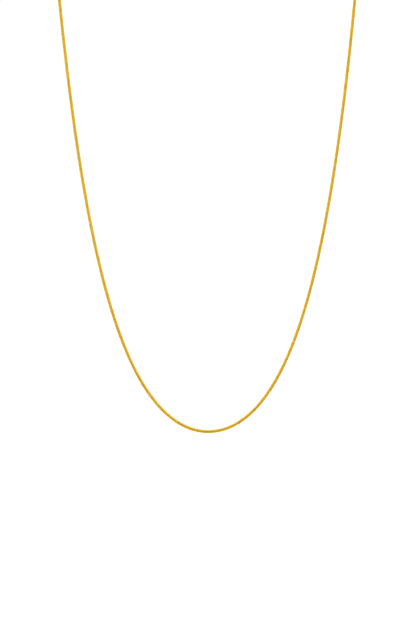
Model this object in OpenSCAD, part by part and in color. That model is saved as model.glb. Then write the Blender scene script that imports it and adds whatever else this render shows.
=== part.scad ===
// Snake chain necklace: one fine round chain that closes in a plain barrel clasp at the nape.
// The front hangs as a free chain does, on a plane that leans back like a chest.
// The back goes round the neck to the clasp.
// Millimetres, +Z up, the front faces -Y. The underside of the clasp rests on the nape at the origin.

/* [Chain] */
// Length of the whole loop, clasp included
loop_length = 500; // [440:5:600]
// Outside diameter of the chain
chain_d = 1; // [0.8:0.05:1.2]

/* [Drape] */
// Distance between the two strands where they pass from the chest to the neck
strand_gap = 103; // [96:0.5:110]
// How far the hanging front leans back from upright, in degrees
front_lean = 22.9; // [0:0.1:35]
// How far the clasp lies behind the place where the strands pass to the neck
nape_depth = 36.8; // [28:0.2:44]
// How far the clasp lies above that place
nape_rise = 28; // [20:0.5:34]

/* [Clasp] */
// Length of the barrel
clasp_length = 11; // [9:0.5:16]
// Outside diameter of the barrel
clasp_d = 2.6; // [2.2:0.1:3.6]
// Radius of the rounding at each end of the barrel
clasp_rounding = 0.4; // [0.1:0.05:0.6]
// Depth of the socket that takes each end of the chain
socket_depth = 3; // [2:0.25:4]
// Gap round the chain in its socket
socket_clearance = 0.05; // [0.03:0.01:0.1]
// Gap between the end of the chain and the floor of its socket
floor_clearance = 0.2; // [0.1:0.05:0.4]

/* [Hidden] */

// Sides of the tube, and the steps along its front, along each side of the neck and for measuring
chain_sides = 8;
front_steps = 50;
neck_steps = 12;
measuring_steps = 60;
// Handle of a cubic curve that makes a round quarter turn, as a share of the turn's own reach
round_share = 0.5523;
// Widest and tightest bend that the search for the lowest bend looks between, and how close it comes
slack_bend = 200;
tight_bend = 5;
bend_tolerance = 0.000001;
// How far a cut reaches past the face it opens
past = 0.1;
fine = 48;

half_gap = strand_gap / 2;
socket_d = chain_d + 2 * socket_clearance;
clasp_wall = (clasp_d - socket_d) / 2;
rounding = min(clasp_rounding, 0.8 * clasp_wall);
mouth = [clasp_length / 2, 0, clasp_d / 2];
chain_end = mouth - [socket_depth - floor_clearance, 0, 0];
shoulder = [half_gap, -nape_depth, clasp_d / 2 - nape_rise];

function cosh(x) = (exp(x) + exp(-x)) / 2;
function sinh(x) = (exp(x) - exp(-x)) / 2;
function unit(v) = v / norm(v);
function total(values) = values * [for (v = values) 1];
function run_of(points) = total([for (i = [1:len(points) - 1]) norm(points[i] - points[i - 1])]);
function mirrored(points) = [for (i = [len(points) - 1:-1:0]) [-points[i].x, points[i].y, points[i].z]];

// Height and length of a hanging chain, x away from its lowest point, where it bends with radius bend
function hang(x, bend) = bend * (cosh(x / bend) - 1);
function hang_run(x, bend) = bend * sinh(x / bend);

// A place on the leaning plane, from the lowest point: x across and v up the plane
function leaning(x, v) = [x, v * sin(front_lean), v * cos(front_lean)];

function cubic(p, t) =
    pow(1 - t, 3) * p[0] + 3 * pow(1 - t, 2) * t * p[1] + 3 * (1 - t) * t * t * p[2] + pow(t, 3) * p[3];

// The right side of the neck, from the shoulder, in line with the hanging front, to the clasp's mouth
function neck_handles(bend) =
    let (way_up = unit(leaning(1, sinh(half_gap / bend))))
    [
        shoulder,
        shoulder + way_up * round_share * norm([nape_depth, nape_rise]),
        mouth + [round_share * (half_gap - mouth.x), 0, 0],
        mouth
    ];
function neck_side(bend, steps) = [for (i = [0:steps]) cubic(neck_handles(bend), i / steps)];

// The lowest bend that makes the loop as long as it should be: a tighter bend hangs lower
function loop_of(bend) =
    clasp_length + 2 * hang_run(half_gap, bend) + 2 * run_of(neck_side(bend, measuring_steps));
function fitted_bend(tight, slack) =
    let (middle = (tight + slack) / 2)
    slack - tight < bend_tolerance ? middle
    : loop_of(middle) > loop_length ? fitted_bend(middle, slack)
    : fitted_bend(tight, middle);

lowest_bend = fitted_bend(tight_bend, slack_bend);
lowest = shoulder - leaning(half_gap, hang(half_gap, lowest_bend));

// The chain's centre line, from its left end in the clasp, round the front, to its right end
front_route = [
    for (i = [0:front_steps])
        let (x = half_gap * (2 * i / front_steps - 1))
        lowest + leaning(x, hang(x, lowest_bend))
];
right_route = [
    for (i = [1:neck_steps]) cubic(neck_handles(lowest_bend), i / neck_steps),
    chain_end
];
chain_route = concat(mirrored(right_route), front_route, right_route);

// A round tube along a route that never runs along the facing direction
module tube(route, d, sides, facing) {
    last = len(route) - 1;
    ring_points = [
        for (i = [0:last])
            let (
                ahead = unit(route[min(i + 1, last)] - route[max(i - 1, 0)]),
                out = unit(facing - (facing * ahead) * ahead),
                across = cross(ahead, out)
            )
            for (k = [0:sides - 1])
                let (turn = 360 * (k + 0.5) / sides)
                route[i] + d / 2 * (cos(turn) * out + sin(turn) * across)
    ];
    walls = [
        for (i = [0:last - 1], k = [0:sides - 1])
            let (next = (k + 1) % sides)
            [i * sides + k, (i + 1) * sides + k, (i + 1) * sides + next, i * sides + next]
    ];
    first_cap = [for (k = [0:sides - 1]) k];
    last_cap = [for (k = [sides - 1:-1:0]) last * sides + k];
    polyhedron(ring_points, concat([first_cap], walls, [last_cap]), convexity = 6);
}

// The chain, as a plain tube of its outside diameter
module chain() {
    color("goldenrod")
        tube(chain_route, chain_d, chain_sides, [0, -cos(front_lean), sin(front_lean)]);
}

// Half section of the barrel, with round corners
module clasp_section() {
    square_length = clasp_length - 2 * rounding;
    translate([0, -square_length / 2]) square([clasp_d / 2, square_length]);
    translate([0, -clasp_length / 2]) square([clasp_d / 2 - rounding, clasp_length]);
    for (side = [-1, 1])
        translate([clasp_d / 2 - rounding, side * square_length / 2]) circle(rounding, $fn = fine);
}

// The clasp, closed: one plain barrel with a socket at each end for the chain
module clasp() {
    color("gold")
        translate([0, 0, clasp_d / 2])
        rotate([0, 90, 0])
        difference() {
            rotate_extrude($fn = fine) clasp_section();
            for (side = [-1, 1])
                translate([0, 0, side * (clasp_length / 2 - (socket_depth - past) / 2)])
                cylinder(d = socket_d, h = socket_depth + past, center = true, $fn = fine);
        }
}

chain();
clasp();
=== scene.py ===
"""A fine gold snake chain necklace, hanging as it is worn, dressed link by link around its CAD frame."""

import math

import bpy
import numpy as np
from mathutils import Matrix, Vector


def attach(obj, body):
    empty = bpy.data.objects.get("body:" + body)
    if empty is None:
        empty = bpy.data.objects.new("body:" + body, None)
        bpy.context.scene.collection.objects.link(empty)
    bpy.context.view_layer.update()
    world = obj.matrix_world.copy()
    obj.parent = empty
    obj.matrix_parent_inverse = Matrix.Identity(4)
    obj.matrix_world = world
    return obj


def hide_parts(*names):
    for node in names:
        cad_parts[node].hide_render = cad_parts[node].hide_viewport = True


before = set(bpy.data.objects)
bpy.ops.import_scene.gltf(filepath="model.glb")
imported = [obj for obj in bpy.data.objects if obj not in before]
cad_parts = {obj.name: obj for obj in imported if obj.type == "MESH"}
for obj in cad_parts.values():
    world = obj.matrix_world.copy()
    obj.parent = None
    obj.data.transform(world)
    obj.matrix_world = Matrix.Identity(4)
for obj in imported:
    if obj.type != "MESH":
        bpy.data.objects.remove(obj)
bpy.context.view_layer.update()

MM = 0.001

# The necklace's sizes, as in its CAD source
LOOP_LENGTH = 500 * MM
CHAIN_D = 1.0 * MM
STRAND_GAP = 103 * MM
FRONT_LEAN = math.radians(22.9)
NAPE_DEPTH = 36.8 * MM
NAPE_RISE = 28 * MM
CLASP_LENGTH = 11 * MM
CLASP_D = 2.6 * MM
CLASP_ROUNDING = 0.4 * MM
SOCKET_DEPTH = 3 * MM
FLOOR_CLEARANCE = 0.2 * MM
# Handle of a cubic curve that makes a round quarter turn, as a share of the turn's own reach
ROUND_SHARE = 0.5523
HALF_GAP = STRAND_GAP / 2

# Search limits for the lowest bend, and how many points the route is worked out with
TIGHT_BEND = 5 * MM
SLACK_BEND = 200 * MM
SEARCH_ROUNDS = 50
FRONT_POINTS = 12001
NECK_POINTS = 4001

# The links, about 1700 of them: how far one is from the next, and the gap between their bands
LINK_PITCH = 0.29 * MM
LINK_GAP = 0.025 * MM
# The band's edges rise and fall by this much, twice round. Each link is turned a quarter from the last.
EDGE_WAVE = 0.065 * MM
# How deep the band's edge and its shoulder lie below the chain's outside
EDGE_DROP = 0.038 * MM
SHOULDER_DROP = 0.012 * MM
# How deep the neck lies that tucks into the next link, then the link's bore, then the hollow for a neck
NECK_DROP = 0.1 * MM
INNER_DROP = 0.15 * MM
SKIRT_DROP = 0.085 * MM
# How far the neck stands above the band, and how far up inside the band its hollow reaches
NECK_HEIGHT = 0.09 * MM
SKIRT_HEIGHT = 0.11 * MM
# The band's edge is part rim and part seam. Its shoulders are all rim, and what lies inside is all seam.
# The rim share paints a highlight on the shoulders, and the seam share paints shade in the seams and
# inside the link
EDGE_RIM = 0.5
EDGE_SEAM = 0.8
# Sides of a link, and the meshes that hold them all
LINK_SIDES = 20
LINK_PIECES = 5
# Slow twist of the links along the whole loop, in turns
CHAIN_TWIST = 1.75
LINK_SEED = 11

# The camera, fitted to the photograph: its height in pixels, and what a pixel measures at the lowest point
PHOTO_HEIGHT = 624
PIXEL = 0.34 * MM
CAMERA_DISTANCE = 1500 * MM
CAMERA_PITCH = math.radians(10)
CAMERA_ROLL = -0.00318
LOWEST_BELOW_CENTRE = 40.66 * MM
LOWEST_RIGHT_OF_CENTRE = 0.036 * MM
SENSOR = 36.0

# The golds, as shares of the light that they send back
GOLD = (0.925, 0.73, 0.238)
WARM_GOLD = (0.915, 0.71, 0.212)
# A paler gold, for some links at random and also painted on the band shoulders as a highlight
PALE_GOLD = (0.935, 0.765, 0.315)
# A darker, redder gold, painted into the seams and inside each link as shade
SEAM_SHADE_GOLD = (0.87, 0.645, 0.18)
SATIN_GOLD = (0.86, 0.655, 0.19)
PALE_SATIN = (0.88, 0.69, 0.24)

# The noise behind each pattern: the size of its blots or lines, its detail and its seed
DRIFT = (9 * MM, 2, 1.7)
HAZE = (1.3 * MM, 3, 5.2)
SCRATCHES = (0.03 * MM, 2, 8.4)
WEAR = (1.1 * MM, 4, 2.6)
TURNING = (0.12 * MM, 3, 6.1)
# The values of that noise between which a pattern goes from nothing to its most
DRIFT_RANGE = (0.35, 0.65)
HAZE_RANGE = (0.3, 0.7)
WEAR_RANGE = (0.5, 0.7)
# Where the wear near an end of the clasp begins, and where it is full, in roundings from that end
WEAR_BEGINS = 1.5
WEAR_FULL = 0.5

# How much of the pale and deep golds shows: the deep gold is painted shade in the seams, the pale gold on
# the rims a painted highlight
TONE_SHARE = 0.15
RIM_HIGHLIGHT_SHARE = 0.3
SEAM_SHADE_SHARE = 0.8
WEAR_SHARE = 0.8
# How rough each state of the surface is, and what a seam adds to that or wear takes from it
SMOOTH_POLISH = 0.22
HAZY_POLISH = 0.28
SEAM_ROUGHNESS = 0.15
SMOOTH_SATIN = 0.38
HAZY_SATIN = 0.5
WEAR_ROUGHNESS = 0.08
# How strongly the scratches and the turning lines show, and how deep they are
SCRATCH_STRENGTH = 0.25
SCRATCH_DEPTH = 0.004 * MM
TURNING_STRENGTH = 0.8
TURNING_DEPTH = 0.02 * MM

# The stage: the matt floor far below the chain, and how much light its paper sends back
FLOOR_DROP = 150 * MM
FLOOR_SIZE = 60.0
FLOOR_PAPER = 0.9
FLOOR_ROUGHNESS = 1.0
FLOOR_GLOSS = 0.0

# The light: an even tent, white up to just above the horizon and dimmer over that
TENT_WHITE = 1.015
TENT_LIGHT = 0.8
WHITE_TO = 0.075
DIM_FROM = 0.12
# How many degrees a soft box reaches from its middle
BOX_REACH = 32
# The soft boxes: degrees from the front round to the right, degrees above the floor, and strength
SOFT_BOXES = {
    "left_back": (245, 35, 0.55),
    "left_front": (290, 35, 0.35),
    "right_front": (70, 35, 0.45),
    "right_back": (120, 60, 0.8),
    "overhead": (300, 80, 0.85),
}


def hang(x, bend):
    """Height of a hanging chain, x away from its lowest point."""
    return bend * (np.cosh(x / bend) - 1)


def leaning(x, v):
    """A place on the leaning plane, from the lowest point: x across and v up the plane."""
    return np.stack([x, v * math.sin(FRONT_LEAN), v * math.cos(FRONT_LEAN)], axis=-1)


def run_of(points):
    """Length along a row of points."""
    return np.linalg.norm(np.diff(points, axis=0), axis=1).sum()


def neck_side(bend, count):
    """The right side of the neck, from the shoulder to the clasp's mouth, as a cubic curve."""
    shoulder = np.array([HALF_GAP, -NAPE_DEPTH, CLASP_D / 2 - NAPE_RISE])
    mouth = np.array([CLASP_LENGTH / 2, 0, CLASP_D / 2])
    way_up = leaning(np.array(1.0), np.sinh(HALF_GAP / bend))
    way_up /= np.linalg.norm(way_up)
    up_handle = shoulder + way_up * ROUND_SHARE * math.hypot(NAPE_DEPTH, NAPE_RISE)
    back_handle = mouth + np.array([ROUND_SHARE * (HALF_GAP - mouth[0]), 0, 0])
    t = np.linspace(0, 1, count)[:, None]
    return (
        (1 - t) ** 3 * shoulder
        + 3 * (1 - t) ** 2 * t * up_handle
        + 3 * (1 - t) * t**2 * back_handle
        + t**3 * mouth
    )


def lowest_bend():
    """The lowest bend that makes the loop as long as it should be: a tighter bend hangs lower."""
    tight, slack = TIGHT_BEND, SLACK_BEND
    for _ in range(SEARCH_ROUNDS):
        middle = (tight + slack) / 2
        front = 2 * middle * math.sinh(HALF_GAP / middle)
        loop = CLASP_LENGTH + front + 2 * run_of(neck_side(middle, NECK_POINTS))
        if loop > LOOP_LENGTH:
            tight = middle
        else:
            slack = middle
    return (tight + slack) / 2


def chain_route():
    """The chain's centre line, from its left end in the clasp to its right end, and its lowest point."""
    bend = lowest_bend()
    neck = neck_side(bend, NECK_POINTS)
    lowest = neck[0] - leaning(np.array(HALF_GAP), hang(HALF_GAP, bend))
    x = np.linspace(-HALF_GAP, HALF_GAP, FRONT_POINTS)
    front = lowest + leaning(x, hang(x, bend))
    end = neck[-1] - np.array([SOCKET_DEPTH - FLOOR_CLEARANCE, 0, 0])
    right = np.vstack([neck[1:], end])
    left = right[::-1] * np.array([-1, 1, 1])
    return np.vstack([left, front, right]), lowest


class Route:
    """The centre line by the distance along it."""

    def __init__(self, points):
        self.points = points
        steps = np.linalg.norm(np.diff(points, axis=0), axis=1)
        self.along = np.concatenate([[0], np.cumsum(steps)])
        self.length = self.along[-1]

    def at(self, s):
        """The place at each distance s."""
        return np.stack([np.interp(s, self.along, self.points[:, k]) for k in range(3)], axis=-1)

    def frames(self, s, reach):
        """Place, way ahead, way out to the front and way across, at each distance s."""
        ahead = self.at(np.minimum(s + reach, self.length)) - self.at(np.maximum(s - reach, 0))
        ahead /= np.linalg.norm(ahead, axis=1, keepdims=True)
        facing = np.array([0, -math.cos(FRONT_LEAN), math.sin(FRONT_LEAN)])
        out = facing - (ahead @ facing)[:, None] * ahead
        out /= np.linalg.norm(out, axis=1, keepdims=True)
        return self.at(s), ahead, out, np.cross(ahead, out)


def link_section(band):
    """One link's closed section: a table of its corners, handed back column by column."""
    outside = CHAIN_D / 2
    half = band / 2
    # Radius, height, the edge that the corner follows (1 upper, -1 lower), and its shares of rim and seam
    corners = [
        (outside - EDGE_DROP, -half, -1, EDGE_RIM, EDGE_SEAM),
        (outside - SHOULDER_DROP, -half + EDGE_DROP, -1, 1, 0),
        (outside, 0, 0, 0, 0),
        (outside - SHOULDER_DROP, half - EDGE_DROP, 1, 1, 0),
        (outside - EDGE_DROP, half, 1, EDGE_RIM, EDGE_SEAM),
        (outside - NECK_DROP, half, 1, 0, 1),
        (outside - NECK_DROP, half + NECK_HEIGHT, 1, 0, 1),
        (outside - INNER_DROP, half + NECK_HEIGHT, 1, 0, 1),
        (outside - INNER_DROP, -half + SKIRT_HEIGHT, -1, 0, 1),
        (outside - SKIRT_DROP, -half + SKIRT_HEIGHT, -1, 0, 1),
        (outside - SKIRT_DROP, -half, -1, 0, 1),
    ]
    return np.array(corners).T


def link_points(route, pitch, index, radius, height, edge):
    """The points of the links in index: every corner of the section, at every side of the link."""
    s = (index + 0.5) * pitch
    place, ahead, out, across = route.frames(s, pitch / 2)
    turn = 2 * math.pi * np.arange(LINK_SIDES) / LINK_SIDES
    phase = (index % 2) * math.pi / 2 + 2 * math.pi * CHAIN_TWIST * s / route.length
    angle = (phase[:, None] + turn[None, :])[:, :, None]
    radial = np.cos(angle) * out[:, None, :] + np.sin(angle) * across[:, None, :]
    lift = height[None, :] + edge[None, :] * EDGE_WAVE * np.cos(2 * turn)[:, None]
    points = (
        place[:, None, None, :]
        + radial[:, :, None, :] * radius[None, None, :, None]
        + ahead[:, None, None, :] * lift[None, :, :, None]
    )
    return points.reshape(-1, 3)


def link_faces(links, corners):
    """The faces of that many links, four points each, closed round the section and round the chain."""
    side, corner = np.meshgrid(np.arange(LINK_SIDES), np.arange(corners), indexing="ij")
    here = side * corners
    there = (side + 1) % LINK_SIDES * corners
    next_corner = (corner + 1) % corners
    one = np.stack([here + corner, there + corner, there + next_corner, here + next_corner], axis=-1)
    first_points = np.arange(links) * LINK_SIDES * corners
    return (one.reshape(-1, 4)[None] + first_points[:, None, None]).reshape(-1, 4)


def smooth_mesh(name, points, faces, values):
    """A smooth mesh of four-cornered faces, with a value of each name kept at each point."""
    mesh = bpy.data.meshes.new(name)
    mesh.vertices.add(len(points))
    mesh.vertices.foreach_set("co", points.astype(np.float32).ravel())
    mesh.loops.add(faces.size)
    mesh.loops.foreach_set("vertex_index", faces.astype(np.int32).ravel())
    mesh.polygons.add(len(faces))
    mesh.polygons.foreach_set("loop_start", np.arange(0, faces.size, faces.shape[1], dtype=np.int32))
    mesh.polygons.foreach_set("use_smooth", np.ones(len(faces), dtype=bool))
    for label, numbers in values.items():
        kept = mesh.attributes.new(label, "FLOAT", "POINT")
        kept.data.foreach_set("value", numbers.astype(np.float32))
    mesh.update()
    mesh.validate()
    return mesh


def link_mesh(name, route, pitch, first, last, tones):
    """One mesh that holds the links from first to last, each a closed ring."""
    radius, height, edge, rim, seam = link_section(pitch - LINK_GAP)
    index = np.arange(first, last)
    corners = len(radius)
    values = {
        "rim": np.tile(rim, len(index) * LINK_SIDES),
        "seam": np.tile(seam, len(index) * LINK_SIDES),
        "link_tone": np.repeat(tones[first:last], LINK_SIDES * corners),
    }
    points = link_points(route, pitch, index, radius, height, edge)
    return smooth_mesh(name, points, link_faces(len(index), corners), values)


def add_object(name, mesh, material):
    """A new object of that mesh and material, in the scene."""
    mesh.materials.append(material)
    made = bpy.data.objects.new(name, mesh)
    bpy.context.scene.collection.objects.link(made)
    return made


def make_chain(route, material):
    """The snake chain's links, in a few meshes that follow one another, for the CAD's plain tube."""
    count = round(route.length / LINK_PITCH)
    pitch = route.length / count
    tones = np.random.default_rng(LINK_SEED).random(count)
    limits = np.linspace(0, count, LINK_PIECES + 1).astype(int)
    for k, (first, last) in enumerate(zip(limits[:-1], limits[1:])):
        name = f"chain_links_{k + 1}"
        piece = add_object(name, link_mesh(name, route, pitch, first, last, tones), material)
        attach(piece, "root")
        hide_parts("chain")


class Nodes:
    """A node tree, with short ways to add the nodes that are used here."""

    def __init__(self, tree):
        self.tree = tree

    def put(self, value, socket):
        """Sets an input to a constant, or links it to another socket."""
        if isinstance(value, bpy.types.NodeSocket):
            self.tree.links.new(value, socket)
        elif socket.type == "RGBA":
            socket.default_value = (*value, 1)
        else:
            socket.default_value = value

    def add(self, kind, inputs=None, **settings):
        """A node of that kind: its settings, then its inputs by name, each a socket or a constant."""
        node = self.tree.nodes.new("ShaderNode" + kind)
        for name, value in settings.items():
            setattr(node, name, value)
        for name, value in (inputs or {}).items():
            self.put(value, next(i for i in node.inputs if i.name == name and i.enabled))
        return node

    def place(self):
        """The place on the object, in metres along its own axes."""
        return self.add("TexCoord").outputs["Object"]

    def along_x(self):
        """The place along the object's own X axis, in metres."""
        return self.add("SeparateXYZ", {"Vector": self.place()}).outputs["X"]

    def noise(self, size, detail, seed):
        """Cloudy noise in the object's own coordinates, with blots of that size in metres."""
        inputs = {"Vector": self.place(), "W": seed, "Scale": 1 / size, "Detail": detail}
        return self.add("TexNoise", inputs, noise_dimensions="4D").outputs["Fac"]

    def lines(self, size, detail, seed):
        """Fine uneven lines across the object's X axis, of that width in metres."""
        along = self.number("ADD", self.number("DIVIDE", self.along_x(), size), seed)
        inputs = {"W": along, "Scale": 1.0, "Detail": detail}
        return self.add("TexNoise", inputs, noise_dimensions="1D").outputs["Fac"]

    def attribute(self, name):
        """A number kept on the mesh."""
        return self.add("Attribute", attribute_name=name).outputs["Fac"]

    def spread(self, value, low, high, to_low, to_high):
        """A value spread from one range to another, and held there."""
        inputs = {"Value": value, "From Min": low, "From Max": high, "To Min": to_low, "To Max": to_high}
        return self.add("MapRange", inputs).outputs["Result"]

    def mixed(self, share, first, second):
        """Two colours, mixed by a share."""
        node = self.add("Mix", {"Factor": share, "A": first, "B": second}, data_type="RGBA")
        return next(o for o in node.outputs if o.enabled)

    def number(self, operation, first, second):
        """The number that an operation makes of two others."""
        node = self.add("Math", operation=operation)
        self.put(first, node.inputs[0])
        self.put(second, node.inputs[1])
        return node.outputs["Value"]

    def bumps(self, height, strength, depth):
        """The way that the surface faces, roughened by a height of that depth in metres."""
        inputs = {"Height": height, "Strength": strength, "Distance": depth}
        return self.add("Bump", inputs).outputs["Normal"]


def new_material(name):
    """A material with its node helper and its shader."""
    material = bpy.data.materials.new(name)
    material.use_nodes = True
    return material, Nodes(material.node_tree), material.node_tree.nodes["Principled BSDF"]


def finish_gold(nodes, shader, colour, roughness, facing):
    """Joins up a gold: its colour, its roughness and the fine grain of its surface."""
    nodes.put(colour, shader.inputs["Base Color"])
    nodes.put(roughness, shader.inputs["Roughness"])
    nodes.put(facing, shader.inputs["Normal"])
    nodes.put(1.0, shader.inputs["Metallic"])


def chain_gold():
    """The chain's gold plate: fine scratches, slightly different links, a painted highlight on the rims,
    and seams painted darker as shade and made rougher.
    """
    material, nodes, shader = new_material("chain_gold")
    drift = nodes.spread(nodes.noise(*DRIFT), *DRIFT_RANGE, 0, 1)
    tone = nodes.spread(nodes.attribute("link_tone"), 0, 1, 0, TONE_SHARE)
    # Painted highlight: the band shoulders are made paler
    rim = nodes.spread(nodes.attribute("rim"), 0, 1, 0, RIM_HIGHLIGHT_SHARE)
    # Painted shade: the seams and the inside of each link are darkened towards the deep gold
    seam = nodes.spread(nodes.attribute("seam"), 0, 1, 0, SEAM_SHADE_SHARE)
    toned = nodes.mixed(tone, nodes.mixed(drift, GOLD, WARM_GOLD), PALE_GOLD)
    colour = nodes.mixed(seam, nodes.mixed(rim, toned, PALE_GOLD), SEAM_SHADE_GOLD)
    haze = nodes.spread(nodes.noise(*HAZE), *HAZE_RANGE, SMOOTH_POLISH, HAZY_POLISH)
    dull = nodes.spread(nodes.attribute("seam"), 0, 1, 0, SEAM_ROUGHNESS)
    scratches = nodes.bumps(nodes.noise(*SCRATCHES), SCRATCH_STRENGTH, SCRATCH_DEPTH)
    finish_gold(nodes, shader, colour, nodes.number("ADD", haze, dull), scratches)
    return material


def clasp_gold():
    """The clasp's gold plate: satin, with fine turning lines, worn at its ends and in faint patches."""
    material, nodes, shader = new_material("clasp_gold")
    patches = nodes.spread(nodes.noise(*WEAR), *WEAR_RANGE, 0, 1)
    from_middle = nodes.number("ABSOLUTE", nodes.along_x(), 0)
    begins = CLASP_LENGTH / 2 - WEAR_BEGINS * CLASP_ROUNDING
    full = CLASP_LENGTH / 2 - WEAR_FULL * CLASP_ROUNDING
    worn = nodes.number("MAXIMUM", patches, nodes.spread(from_middle, begins, full, 0, 1))
    colour = nodes.mixed(nodes.number("MULTIPLY", worn, WEAR_SHARE), SATIN_GOLD, PALE_SATIN)
    haze = nodes.spread(nodes.noise(*HAZE), *HAZE_RANGE, SMOOTH_SATIN, HAZY_SATIN)
    roughness = nodes.number("SUBTRACT", haze, nodes.number("MULTIPLY", worn, WEAR_ROUGHNESS))
    turning = nodes.bumps(nodes.lines(*TURNING), TURNING_STRENGTH, TURNING_DEPTH)
    finish_gold(nodes, shader, colour, roughness, turning)
    return material


def make_camera(lowest):
    """The camera, a little above the chain and looking down at it, with the photograph's slight roll."""
    data = bpy.data.cameras.new("camera")
    data.sensor_width = SENSOR
    data.lens = SENSOR * CAMERA_DISTANCE / (PHOTO_HEIGHT * PIXEL)
    camera = bpy.data.objects.new("camera", data)
    bpy.context.scene.collection.objects.link(camera)
    ahead = Vector((0, math.cos(CAMERA_PITCH), -math.sin(CAMERA_PITCH)))
    up = Vector((0, math.sin(CAMERA_PITCH), math.cos(CAMERA_PITCH)))
    right = Vector((1, 0, 0))
    centre = Vector(lowest) - LOWEST_RIGHT_OF_CENTRE * right + LOWEST_BELOW_CENTRE * up
    axes = Matrix((right, up, -ahead)).transposed()
    roll = Matrix.Rotation(CAMERA_ROLL, 3, "Z")
    place = centre - CAMERA_DISTANCE * ahead
    camera.matrix_world = Matrix.Translation(place) @ (axes @ roll).to_4x4()
    bpy.context.scene.camera = camera


def make_stage(lowest):
    """A wide plain pale floor, well below the chain."""
    half = FLOOR_SIZE / 2
    z = float(lowest[2]) - FLOOR_DROP
    corners = [(-half, -half, z), (half, -half, z), (half, half, z), (-half, half, z)]
    mesh = bpy.data.meshes.new("floor")
    mesh.from_pydata(corners, [], [(0, 1, 2, 3)])
    material, nodes, shader = new_material("floor_paper")
    nodes.put((FLOOR_PAPER, FLOOR_PAPER, FLOOR_PAPER), shader.inputs["Base Color"])
    nodes.put(FLOOR_ROUGHNESS, shader.inputs["Roughness"])
    nodes.put(FLOOR_GLOSS, shader.inputs["Specular IOR Level"])
    floor = add_object("floor", mesh, material)


def box_light(nodes, way, turn, lift, strength):
    """One soft box's light by direction: brightest in its middle, and nothing outside its reach."""
    turn, lift = math.radians(turn), math.radians(lift)
    middle = (math.cos(lift) * math.sin(turn), -math.cos(lift) * math.cos(turn), math.sin(lift))
    near = nodes.add("VectorMath", operation="DOT_PRODUCT")
    nodes.put(way, near.inputs[0])
    nodes.put(middle, near.inputs[1])
    return nodes.spread(near.outputs["Value"], math.cos(math.radians(BOX_REACH)), 1, 0, strength)


def make_light():
    """The light tent and its soft boxes. The picture keeps their plain values, as the photograph does."""
    scene = bpy.context.scene
    world = bpy.data.worlds.new("light_tent")
    scene.world = world
    world.use_nodes = True
    nodes = Nodes(world.node_tree)
    way = nodes.add("TexCoord").outputs["Generated"]
    height = nodes.add("SeparateXYZ", {"Vector": way}).outputs["Z"]
    light = nodes.spread(height, WHITE_TO, DIM_FROM, TENT_WHITE, TENT_LIGHT)
    for turn, lift, strength in SOFT_BOXES.values():
        light = nodes.number("ADD", light, box_light(nodes, way, turn, lift, strength))
    background = world.node_tree.nodes["Background"]
    nodes.put((1, 1, 1), background.inputs["Color"])
    nodes.put(light, background.inputs["Strength"])
    scene.view_settings.view_transform = "Raw"


points, lowest = chain_route()
make_camera(lowest)
make_stage(lowest)
make_light()
make_chain(Route(points), chain_gold())
satin = clasp_gold()
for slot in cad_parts["clasp"].material_slots:
    slot.material = satin
